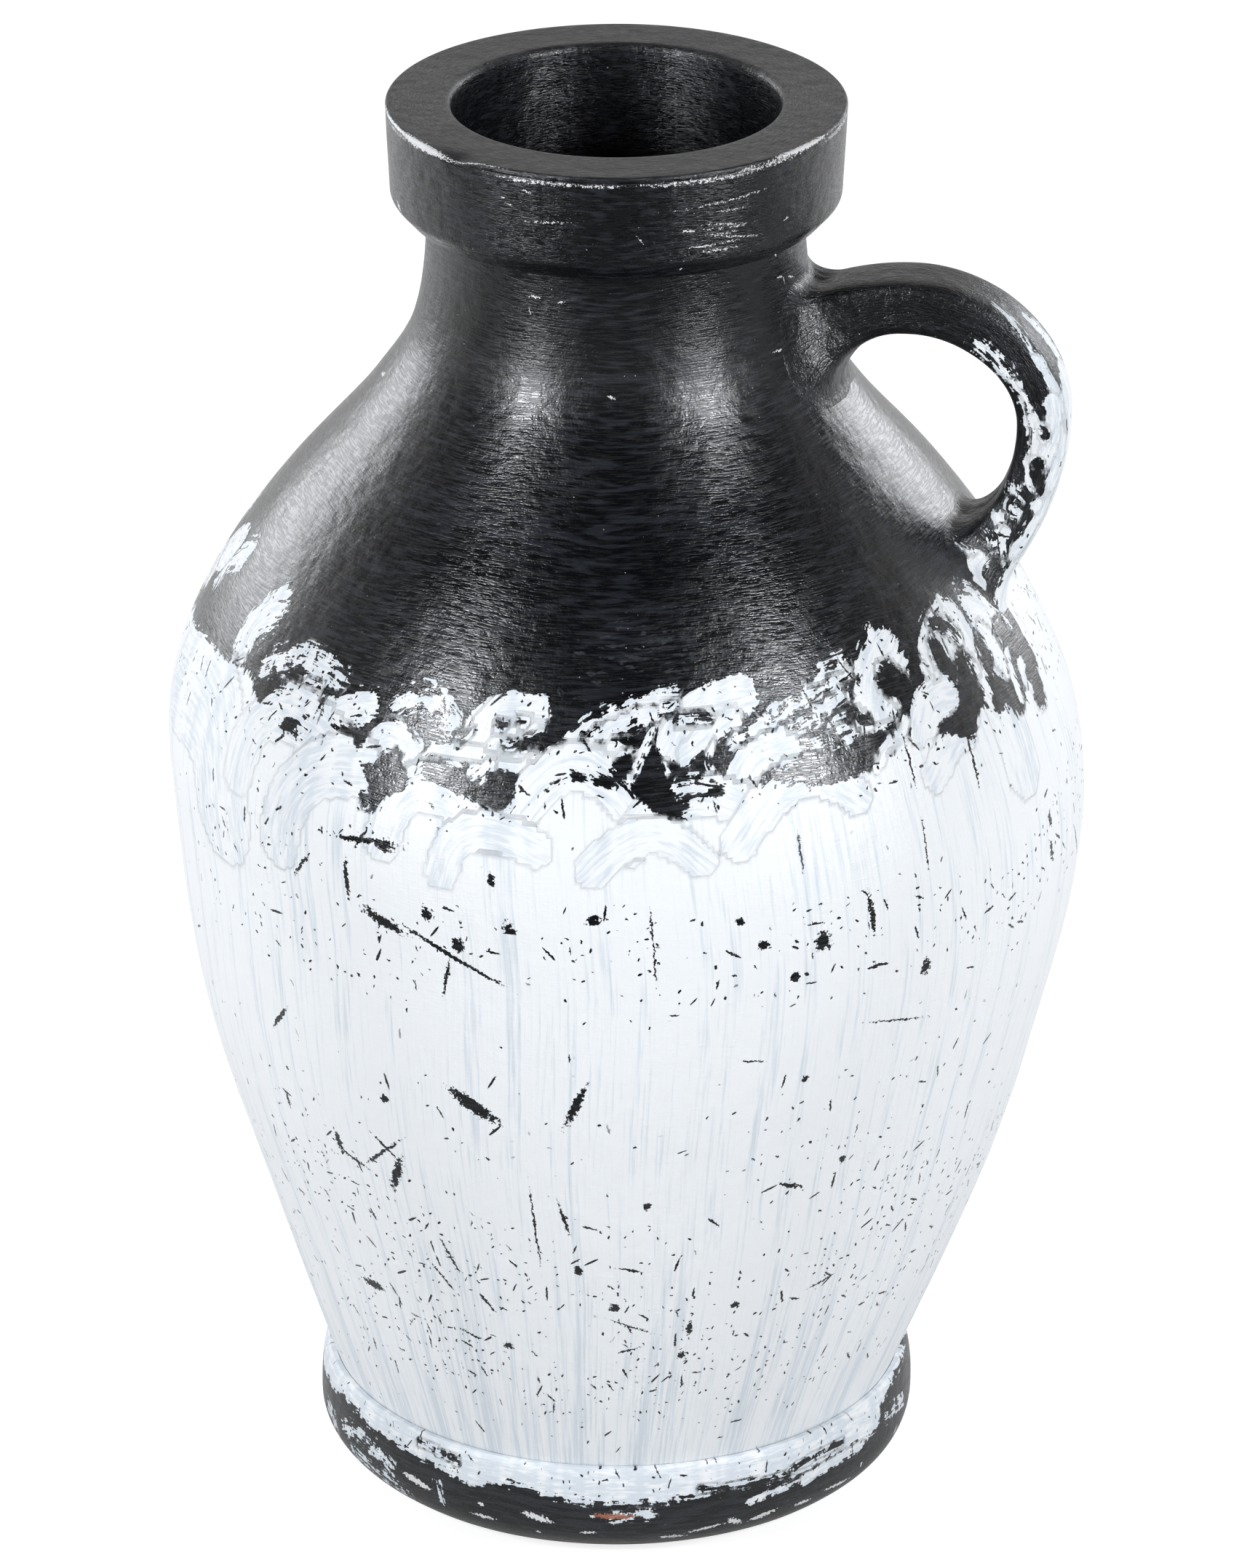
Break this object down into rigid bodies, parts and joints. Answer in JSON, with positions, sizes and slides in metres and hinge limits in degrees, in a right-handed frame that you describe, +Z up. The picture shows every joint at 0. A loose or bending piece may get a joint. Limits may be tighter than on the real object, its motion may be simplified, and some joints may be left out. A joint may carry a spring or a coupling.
{
  "type": "one-handled ceramic vase",
  "caption": "Tall hand-built clay vase with a swelling body, short neck, heavy square-edged mouth collar, rounded foot and a strap handle from neck to shoulder.",
  "frame": {"origin": "centre of the standing plane, on the axis of the vase", "axes": "+Z up the axis of the vase, +X towards the handle"},
  "size_m": [0.3012, 0.3012, 0.48],
  "materials": {
    "bare_clay": "matte, fired and unpainted",
    "body_paint": "satin, brushed white over black, chipped",
    "foot_paint": "satin, white above black, chipped",
    "neck_paint": "satin black, wheel streaks",
    "collar_paint": "satin black, worn pale at the edges",
    "handle_paint": "satin black with white brush marks"
  },
  "bodies": {
    "root": {"base_slab": "bare_clay", "foot_ring": "foot_paint", "lower_wall": "body_paint", "shoulder_wall": "body_paint", "neck": "neck_paint", "rim_collar": "collar_paint", "floor_coil": "bare_clay", "belly_coil": "bare_clay", "handle": "handle_paint", "neck_lute": "handle_paint", "shoulder_lute": "handle_paint"}
  },
  "joints": []
}
